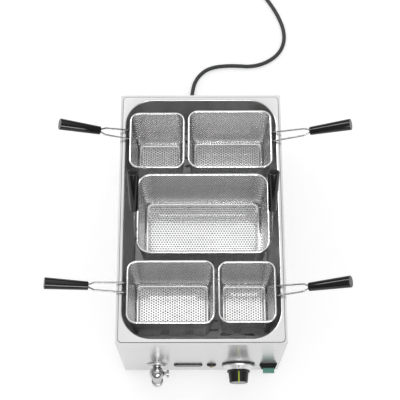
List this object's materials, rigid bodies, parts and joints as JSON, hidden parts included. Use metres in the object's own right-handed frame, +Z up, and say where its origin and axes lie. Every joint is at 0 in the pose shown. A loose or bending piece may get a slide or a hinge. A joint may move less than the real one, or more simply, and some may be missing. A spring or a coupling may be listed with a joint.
{
  "type": "pasta_cooker",
  "caption": "Countertop electric pasta cooker: a brushed steel housing with a deep tank, lift-out perforated baskets with black grips, a drain tap and a knob on the front",
  "frame": {"origin": "on the surface that the feet stand on, under the middle of the box round the cooker without its mains cord", "axes": "+Z up, +X to the right as seen from the front, +Y to the back; the controls face -Y"},
  "size_m": [0.6232, 1.14, 0.4204],
  "materials": {
    "brushed_housing": "brushed stainless sheet",
    "tank_steel": "drawn stainless sheet and tube",
    "basket_steel": "electropolished stainless",
    "bright_steel": "polished chrome",
    "grip_black": "glossy heat-resistant plastic",
    "control_black": "moulded black plastic",
    "pointer_yellow": "yellow-green pointer strip",
    "rocker_green": "translucent green rocker",
    "lens_amber": "pilot lamp lens",
    "terminal_white": "white nylon",
    "rubber_black": "moulded rubber",
    "cord_grey": "rubber cable sheath"
  },
  "bodies": {
    "housing": {"housing_wrap": "brushed_housing", "back_cover": "brushed_housing", "cover_screw_1": "bright_steel", "cover_screw_2": "bright_steel", "cover_screw_3": "bright_steel", "cover_screw_4": "bright_steel", "base_plate": "brushed_housing", "foot_front_left": "rubber_black", "foot_front_right": "rubber_black", "foot_rear_left": "rubber_black", "foot_rear_right": "rubber_black", "tank": "tank_steel", "false_bottom": "tank_steel", "false_bottom_rail_left": "tank_steel", "false_bottom_rail_right": "tank_steel", "heating_element": "tank_steel", "drain_pipe": "tank_steel", "thermostat": "control_black", "knob_shaft": "tank_steel", "knob_ring": "control_black", "knob_bezel": "bright_steel", "lamp_bezel": "control_black", "lamp_lens": "lens_amber", "badge_plate": "control_black", "switch_frame": "control_black", "tap_flange": "bright_steel", "tap_body": "bright_steel", "terminal_block": "terminal_white", "cable_gland": "control_black", "strain_relief": "rubber_black", "mains_cord": "cord_grey", "cord_coil": "cord_grey", "coil_tie": "rubber_black", "mains_plug": "rubber_black"},
    "knob_body": {"knob": "control_black", "knob_pointer": "pointer_yellow"},
    "rocker_body": {"switch_rocker": "rocker_green"},
    "lever_body": {"tap_lever": "bright_steel"},
    "basket_rear_left": {"rear_left_tub": "basket_steel", "rear_left_rim": "basket_steel", "rear_left_handle": "basket_steel", "rear_left_grip": "grip_black"},
    "basket_rear_right": {"rear_right_tub": "basket_steel", "rear_right_rim": "basket_steel", "rear_right_handle": "basket_steel", "rear_right_grip": "grip_black"},
    "basket_front_left": {"front_left_tub": "basket_steel", "front_left_rim": "basket_steel", "front_left_handle": "basket_steel", "front_left_grip": "grip_black"},
    "basket_front_right": {"front_right_tub": "basket_steel", "front_right_rim": "basket_steel", "front_right_handle": "basket_steel", "front_right_grip": "grip_black"},
    "basket_middle": {"middle_tub": "basket_steel", "middle_rim": "basket_steel", "middle_left_handle": "basket_steel", "middle_left_grip": "grip_black", "middle_right_handle": "basket_steel", "middle_right_grip": "grip_black"}
  },
  "joints": [
    {"name": "rear_left_lift", "type": "slide", "parent": "housing", "child": "basket_rear_left", "axis": [0, 0, 1], "range_m": [0, 0.2]},
    {"name": "rear_right_lift", "type": "slide", "parent": "housing", "child": "basket_rear_right", "axis": [0, 0, 1], "range_m": [0, 0.2]},
    {"name": "front_left_lift", "type": "slide", "parent": "housing", "child": "basket_front_left", "axis": [0, 0, 1], "range_m": [0, 0.2]},
    {"name": "front_right_lift", "type": "slide", "parent": "housing", "child": "basket_front_right", "axis": [0, 0, 1], "range_m": [0, 0.2]},
    {"name": "middle_lift", "type": "slide", "parent": "housing", "child": "basket_middle", "axis": [0, 0, 1], "range_m": [0, 0.2]},
    {"name": "knob_turn", "type": "hinge", "parent": "housing", "child": "knob_body", "pos_m": [0.08005, -0.2499, 0.088], "axis": [0, 1, 0], "range_deg": [0, 270]},
    {"name": "switch_tip", "type": "hinge", "parent": "housing", "child": "rocker_body", "pos_m": [0.14455, -0.2529, 0.088], "axis": [-1, 0, 0], "range_deg": [0, 10]},
    {"name": "tap_open", "type": "hinge", "parent": "housing", "child": "lever_body", "pos_m": [-0.07945, -0.2689, 0.088], "axis": [-1, 0, 0], "range_deg": [0, 90]}
  ]
}
